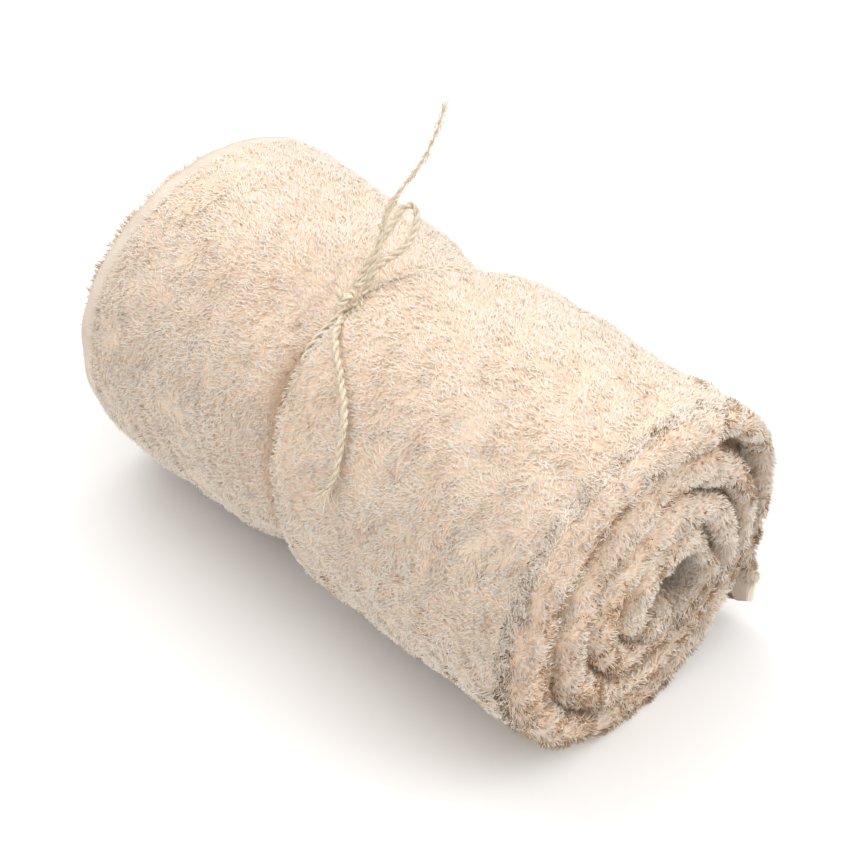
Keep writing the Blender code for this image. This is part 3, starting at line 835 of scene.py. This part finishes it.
def end_strands(name, p, n, lean_base, seed, length=0.0040, rise=0.75, tone_shift=0.0):
    r = np.random.default_rng(seed)
    count = len(p)
    lean_to = unit(lean_base + 0.6 * r.normal(size=(count, 3)))
    lean_to = unit(lean_to - n * np.sum(lean_to * n, -1, keepdims=True))
    tone = np.clip(0.38 + tone_shift + 0.2 * tone_a(p) + 0.2 * r.normal(size=count), 0, 1)
    V, F, C, tip, tones, lit = strands(p, n, lean_to, length * r.uniform(0.7, 1.2, count), 0.0008 * r.uniform(0.7, 1.3, count),
                                  np.clip(rise + r.normal(0, 0.25, count), 0.1, 1.4), np.full(count, 0.3), tone, seed + 1, 2)
    return new_object(name, new_mesh(name, V + PLACE, F, C, {"tip": tip, "tone": tones}, normals=lit), pile_look)


pile_pieces.append(end_strands("pile_core_edge", core_p, core_n, np.tile(np.array([0.6, 0, 0]), (CORE_STRANDS, 1)), 380, 0.0042, 0.9))
outward = unit(pa * np.array([0, 1, 1]) - np.array([0, HEART_Y, HEART_Z]))
lean_base = np.tile(np.array([-1.0, 0, 0]), (OPEN, 1))
pile_pieces.append(end_strands("pile_open_end_a", pa, outward, lean_base, 420, 0.0054, 0.55, -0.15))
s2 = r.uniform(0, 1, OPEN)
pb, _, _, _ = normal_by_steps(turn, open_x_b, open_depth_b, s2)
inward = -unit(pb * np.array([0, 1, 1]) - np.array([0, HEART_Y, HEART_Z]))
pile_pieces.append(end_strands("pile_open_end_b", pb, inward, lean_base, 430))


# ---------------------------------------------------------------- the twine
def smooth_route(route, spacing):
    """Points evenly spaced along a smooth curve through the route (centripetal Catmull-Rom)."""
    knots = [Vector(p) for p in route]
    knots = [knots[0] * 2 - knots[1]] + knots + [knots[-1] * 2 - knots[-2]]
    fine = []
    for i in range(1, len(knots) - 2):
        p0, p1, p2, p3 = knots[i - 1 : i + 3]
        t0 = 0.0
        t1 = t0 + math.sqrt((p1 - p0).length)
        t2 = t1 + math.sqrt((p2 - p1).length)
        t3 = t2 + math.sqrt((p3 - p2).length)
        for k in range(24):
            t = t1 + (t2 - t1) * k / 24
            a1 = p0 * ((t1 - t) / (t1 - t0)) + p1 * ((t - t0) / (t1 - t0))
            a2 = p1 * ((t2 - t) / (t2 - t1)) + p2 * ((t - t1) / (t2 - t1))
            a3 = p2 * ((t3 - t) / (t3 - t2)) + p3 * ((t - t2) / (t3 - t2))
            b1 = a1 * ((t2 - t) / (t2 - t0)) + a2 * ((t - t0) / (t2 - t0))
            b2 = a2 * ((t3 - t) / (t3 - t1)) + a3 * ((t - t1) / (t3 - t1))
            fine.append(b1 * ((t2 - t) / (t2 - t1)) + b2 * ((t - t1) / (t2 - t1)))
    fine.append(knots[-2])
    fine = np.array([tuple(v) for v in fine])
    lengths = np.concatenate([[0], np.cumsum(np.linalg.norm(np.diff(fine, axis=0), axis=1))])
    count = max(2, round(lengths[-1] / spacing))
    want = np.linspace(0, lengths[-1], count + 1)
    return np.stack([np.interp(want, lengths, fine[:, k]) for k in range(3)], 1), lengths[-1]


def frames_along(path, closed=False):
    tangent = np.roll(path, -1, 0) - np.roll(path, 1, 0) if closed else np.gradient(path, axis=0)
    tangent = unit(tangent)
    up = np.array([0.0, 0.0, 1.0])
    if abs(tangent[0] @ up) > 0.9:
        up = np.array([1.0, 0.0, 0.0])
    n = unit(up - tangent[0] * (tangent[0] @ up))
    normals = [n]
    for k in range(1, len(path)):
        n = n - tangent[k] * (n @ tangent[k])
        n = n / np.linalg.norm(n)
        normals.append(n)
    normals = np.array(normals)
    return tangent, normals, np.cross(tangent, normals)


def twine(name, path, diameter, pitch, closed=False, plies=2, sides=8, taper=None, seed=1):
    """Twisted plies about the path. taper: (share from the end where it starts, least size)."""
    tangent, n, b = frames_along(path, closed)
    count = len(path)
    arc = np.concatenate([[0], np.cumsum(np.linalg.norm(np.diff(path, axis=0), axis=1))])
    total = arc[-1] + (np.linalg.norm(path[0] - path[-1]) if closed else 0)
    turns_in_all = round(total / pitch)
    size = np.ones(count)
    if taper:
        size = 1 - (1 - taper[1]) * ease(1 - taper[0], 1.0, arc / arc[-1])
    rough = np.random.default_rng(seed)
    wobble = 1 + 0.10 * np.convolve(rough.normal(size=count + 8), np.ones(9) / 3, "valid")[:count]
    # Ply circles that touch: the whole is a little flat between them.
    r_ply = diameter * 0.285
    off = diameter * 0.215
    V, F, UV, tone = [], [], [], []
    total_points = 0
    for ply in range(plies):
        phase = 2 * np.pi * (arc / total * turns_in_all + ply / plies)
        middle = path + (n * np.cos(phase)[:, None] + b * np.sin(phase)[:, None]) * (off * size)[:, None]
        for side in range(sides):
            a = 2 * np.pi * side / sides
            # Its own fibres twist the other way round, so its skin is ridged.
            ridge = 1 + 0.10 * np.sin(3 * a + phase * 2.0 + ply)
            ring = middle + (n * np.cos(a + phase)[:, None] + b * np.sin(a + phase)[:, None]) * (r_ply * size * wobble * ridge)[:, None]
            V.append(ring)
        outer = np.arange(sides * count).reshape(sides, count) + total_points
        rows = count if closed else count - 1
        for side in range(sides):
            s0, s1 = outer[side], outer[(side + 1) % sides]
            k = np.arange(rows)
            k1 = (k + 1) % count
            F.append(np.stack([s0[k], s0[k1], s1[k1], s1[k]], -1))
            u0 = (ply * sides + side) / (plies * sides)
            u1 = (ply * sides + side + 1) / (plies * sides)
            v0, v1 = k / rows, (k + 1) / rows
            UV.append(np.stack([np.stack([u0 + 0 * v0, v0], -1), np.stack([u0 + 0 * v0, v1], -1),
                                np.stack([u1 + 0 * v0, v1], -1), np.stack([u1 + 0 * v0, v0], -1)], 1))
        total_points += sides * count
        # Painted shade: each ply is darker on its inner side, where the two plies meet, and lighter on its outer side.
        for side in range(sides):
            a = 2 * np.pi * side / sides
            tone.append(0.5 + 0.5 * np.cos(a) + 0 * arc)
    V = np.concatenate(V)
    F, UV = np.concatenate(F), np.concatenate(UV)
    tone = np.concatenate(tone)
    if not closed:
        caps, cap_uv = [], []
        for ply in range(plies):
            grid = np.arange(sides * count).reshape(sides, count) + ply * sides * count
            for end in (0, count - 1):
                ring = grid[:, end]
                mid = len(V)
                V = np.concatenate([V, V[ring].mean(0, keepdims=True)])
                tone = np.concatenate([tone, [0.5]])
                for side in range(0, sides, 1):
                    q = (ring[side], ring[(side + 1) % sides], mid, mid)
                    caps.append(q if end == 0 else (q[1], q[0], mid, mid))
        tri_caps = np.array([c[:3] for c in caps])
        tri = np.concatenate([F[:, [0, 1, 2]], F[:, [0, 2, 3]], tri_caps])
        small = np.zeros((len(tri_caps), 3, 2))
        small[:, 1, 0] = 0.004
        small[:, 2, 1] = 0.004
        tri_uv = np.concatenate([UV[:, [0, 1, 2]], UV[:, [0, 2, 3]], small])
    else:
        tri = np.concatenate([F[:, [0, 1, 2]], F[:, [0, 2, 3]]])
        tri_uv = np.concatenate([UV[:, [0, 1, 2]], UV[:, [0, 2, 3]]])
    return new_object(name, new_mesh(name, V + PLACE, tri, tri_uv, {"tone": tone}), jute_look)


def hairs(name, path, diameter, count, seed, length=0.0045, ends=None):
    """Loose fibres that stand off the twine."""
    r = np.random.default_rng(seed)
    tangent, n, b = frames_along(path)
    k = r.integers(0, len(path), count)
    a = r.uniform(0, 2 * np.pi, count)
    out = n[k] * np.cos(a)[:, None] + b[k] * np.sin(a)[:, None]
    root = path[k] + out * diameter * 0.42
    along = tangent[k] * r.choice([-1, 1], count)[:, None]
    lean = unit(along + 0.30 * r.normal(size=(count, 3)))
    lean = unit(lean - out * np.sum(lean * out, -1, keepdims=True))
    V, F, C, tip, tones, _ = strands(root, out, lean, length * r.uniform(0.4, 1.3, count), np.full(count, 0.00022),
                                  r.uniform(0.0, 0.6, count), r.uniform(-0.4, 0.4, count), r.uniform(0, 1, count), seed, 3)
    if ends is not None:  # the frayed end: fibres that run on past it
        m, reach, fan = ends
        r = np.random.default_rng(seed + 7)
        a = r.uniform(0, 2 * np.pi, m)
        spread = r.uniform(0, 1, m) ** 0.5
        out = n[-1] * np.cos(a)[:, None] + b[-1] * np.sin(a)[:, None]
        root = path[-3] + out * (spread * diameter * 0.35)[:, None]
        ahead = unit(tangent[-1] + out * (fan * spread)[:, None] + 0.12 * r.normal(size=(m, 3)))
        nn = unit(np.cross(ahead, np.cross(out, ahead)))
        V2, F2, C2, tip2, tones2, _ = strands(root, nn, ahead, reach * r.uniform(0.5, 1.15, m), np.full(m, 0.00035),
                                           np.full(m, 0.05), r.uniform(-0.5, 0.5, m), r.uniform(0, 1, m), seed + 8, 3)
        F = np.concatenate([F, F2 + len(V)])
        V, C = np.concatenate([V, V2]), np.concatenate([C * np.array([1, 0.75]), C2 * np.array([1, 0.25]) + np.array([0, 0.75])])
        tones = np.concatenate([tones, tones2])
    return new_object(name, new_mesh(name, V + PLACE, F, C, {"tone": tones}), jute_look)


def taut_ring(lift, along, count=240):
    angles = 360 * np.arange(count) / count
    at_waist = on_waist(angles, lift, along)
    reach = np.hypot(at_waist[:, 1], at_waist[:, 2] - AXIS_Z)
    step = math.radians(360 / count)
    for _ in range(2500):
        a_, b_ = np.roll(reach, 1), np.roll(reach, -1)
        chord = a_ * b_ * math.sin(2 * step) / ((a_ + b_) * math.sin(step))
        reach = np.maximum(reach, chord)
    sunk = ease(56, 40, angles) + ease(326, 342, angles)
    reach = reach - 0.0030 * sunk
    x = WAIST_X + line_of(angles) + along + 0.0015 * sunk
    a = np.radians(angles)
    return np.stack([x, -np.cos(a) * reach, np.maximum(AXIS_Z + np.sin(a) * reach, TWINE / 2 + 0.0006)], -1)


knot = on_waist(np.array([KNOT_ANGLE]), KNOT_LIFT, KNOT_X - WAIST_X - float(line_of(KNOT_ANGLE)))[0]
pieces = {}
for name, along, seed in (("jute_wrap_a", -0.0021, 61), ("jute_wrap_b", 0.0025, 62)):
    ring = taut_ring(-0.0020, along)
    fine = np.concatenate([ring, ring[:1]])
    arc = np.concatenate([[0], np.cumsum(np.linalg.norm(np.diff(fine, axis=0), axis=1))])
    want = np.linspace(0, arc[-1], 480, endpoint=False)
    path = np.stack([np.interp(want, arc, fine[:, k]) for k in range(3)], 1)
    pieces[name] = twine(name, path, TWINE, 0.0125, closed=True, seed=seed, sides=7)
    pieces[name + "_hair"] = hairs(name + "_hair", path, TWINE, 900, seed + 20)

routes = {}
for name, diameter, rows, taper, seed in (("twine_end_up", TWINE_END, END_UP, (0.9, 0.55), 63), ("twine_bow_loop", TWINE, BOW_LOOP, None, 64)):
    path, length = smooth_route([tuple(k + o for k, o in zip(knot, row)) for row in rows], 0.0007)
    pieces[name] = twine(name.replace("twine", "jute"), path, diameter, 0.0115, taper=taper, seed=seed)
    pieces[name + "_hair"] = hairs(name + "_hair", path, diameter, 700, seed + 20, ends=(30, 0.010, 0.25) if name == "twine_end_up" else None)
    routes[name] = (path, length, diameter)
hang_rows = []
for x, angle, lift in END_HANGING:
    r_ = outermost(np.array([angle]), x)[0] + lift
    hang_rows.append((x, -math.cos(math.radians(angle)) * r_, AXIS_Z + math.sin(math.radians(angle)) * r_))
path, length = smooth_route(hang_rows, 0.0007)
pieces["twine_end_hanging"] = twine("jute_end_hanging", path, TWINE, 0.0115, taper=(0.25, 0.75), seed=65)
pieces["twine_end_hanging_hair"] = hairs("twine_end_hanging_hair", path, TWINE, 800, 85, ends=(60, 0.012, 0.45))
routes["twine_end_hanging"] = (path, length, TWINE)

# The knot: one tight crossing of the twine.
t = np.linspace(0, 2 * np.pi, 150, endpoint=False)
form = np.stack([np.sin(t) + 2 * np.sin(2 * t), np.cos(t) - 2 * np.cos(2 * t), -1.1 * np.sin(3 * t)], 1)
form = form / np.abs(form).max(0) * np.array([0.0046, 0.0042, 0.0026])
tilt = -math.radians(90 - KNOT_ANGLE)
turned = np.array(Matrix.Rotation(tilt, 3, "X")) @ np.array(Matrix.Rotation(0.5, 3, "Z"))
path = form @ turned.T + knot
pieces["twine_knot_turns"] = twine("twine_knot_turns", path, TWINE * 0.95, 0.0105, closed=True, seed=66)
pieces["twine_knot_hair"] = hairs("twine_knot_hair", path, TWINE, 160, 86)

# ---------------------------------------------------------------- riding, hiding the parts the looks replace
for piece in [sheet] + pile_pieces:
    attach(piece, "root")
for piece in pieces.values():
    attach(piece, "root")
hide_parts("towel_roll", "towel_loose_end")
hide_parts("twine_wrap_far")
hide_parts("twine_wrap_near")
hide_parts("twine_knot")
for name in ("twine_end_up", "twine_bow_loop", "twine_end_hanging"):
    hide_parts(name)
    path, length, diameter = routes[name]
    world = path + PLACE

# ---------------------------------------------------------------- floor, light, camera
floor_mesh = bpy.data.meshes.new("floor")
floor_mesh.from_pydata([(-6, -6, 0), (6, -6, 0), (6, 6, 0), (-6, 6, 0)], [], [(0, 1, 2, 3)])
floor_look, tree, bsdf = shader("studio_floor")
bsdf.inputs["Base Color"].default_value = (0.92, 0.92, 0.92, 1)
bsdf.inputs["Roughness"].default_value = 0.9
bsdf.inputs["Specular IOR Level"].default_value = 0.1
floor = new_object("floor", floor_mesh, floor_look)

SKY_LOW, SKY_HIGH = 0.12, 1.58
scene = bpy.context.scene
world = bpy.data.worlds.new("studio")
scene.world = world
world.use_nodes = True
sky = world.node_tree.nodes["Background"]
sky.inputs["Color"].default_value = (1.0, 0.995, 0.985, 1)
coord = world.node_tree.nodes.new("ShaderNodeTexCoord")
split = world.node_tree.nodes.new("ShaderNodeSeparateXYZ")
level = world.node_tree.nodes.new("ShaderNodeMapRange")
level.inputs["From Min"].default_value = 0.0
level.inputs["From Max"].default_value = 1.0
level.inputs["To Min"].default_value = SKY_LOW
level.inputs["To Max"].default_value = SKY_HIGH
world.node_tree.links.new(coord.outputs["Generated"], split.inputs[0])
world.node_tree.links.new(split.outputs["Z"], level.inputs["Value"])
world.node_tree.links.new(level.outputs["Result"], sky.inputs["Strength"])


def area(name, place_at, target, size, power, colour):
    data = bpy.data.lights.new(name, "AREA")
    data.shape = "DISK"
    data.size = size
    data.energy = power
    data.color = colour
    obj = bpy.data.objects.new(name, data)
    obj.location = place_at
    obj.rotation_euler = (Vector(target) - Vector(place_at)).to_track_quat("-Z", "Y").to_euler()
    scene.collection.objects.link(obj)
    return obj


area("key", (-0.7, 0.1, 1.7), (0, 0, 0.09), 1.3, 7.0, (1.0, 0.985, 0.96))
area("fill", (1.2, 0.7, 1.1), (0, 0, 0.09), 1.2, 8.5, (1.0, 0.99, 0.98))

AZIMUTH, ELEVATION, DISTANCE, FOCAL = 45.32, 42.0, 1.1167, 2079.8 / 851
a, e = math.radians(AZIMUTH), math.radians(ELEVATION)
back = Vector((math.sin(a) * math.cos(e), -math.cos(a) * math.cos(e), math.sin(e)))
right = Vector((math.cos(a), math.sin(a), 0))
up = back.cross(right)
eye = Vector((0, 0, 0.09)) + back * DISTANCE + right * 0.0057 + up * 0.0036 + Vector(PLACE)
camera_data = bpy.data.cameras.new("camera")
camera_data.sensor_width = 36
camera_data.lens = 36 * FOCAL
camera = bpy.data.objects.new("camera", camera_data)
camera.matrix_world = Matrix((
    (right.x, up.x, back.x, eye.x), (right.y, up.y, back.y, eye.y), (right.z, up.z, back.z, eye.z), (0, 0, 0, 1)))
scene.collection.objects.link(camera)
scene.camera = camera
scene.view_settings.view_transform = "Standard"
scene.view_settings.look = "None"
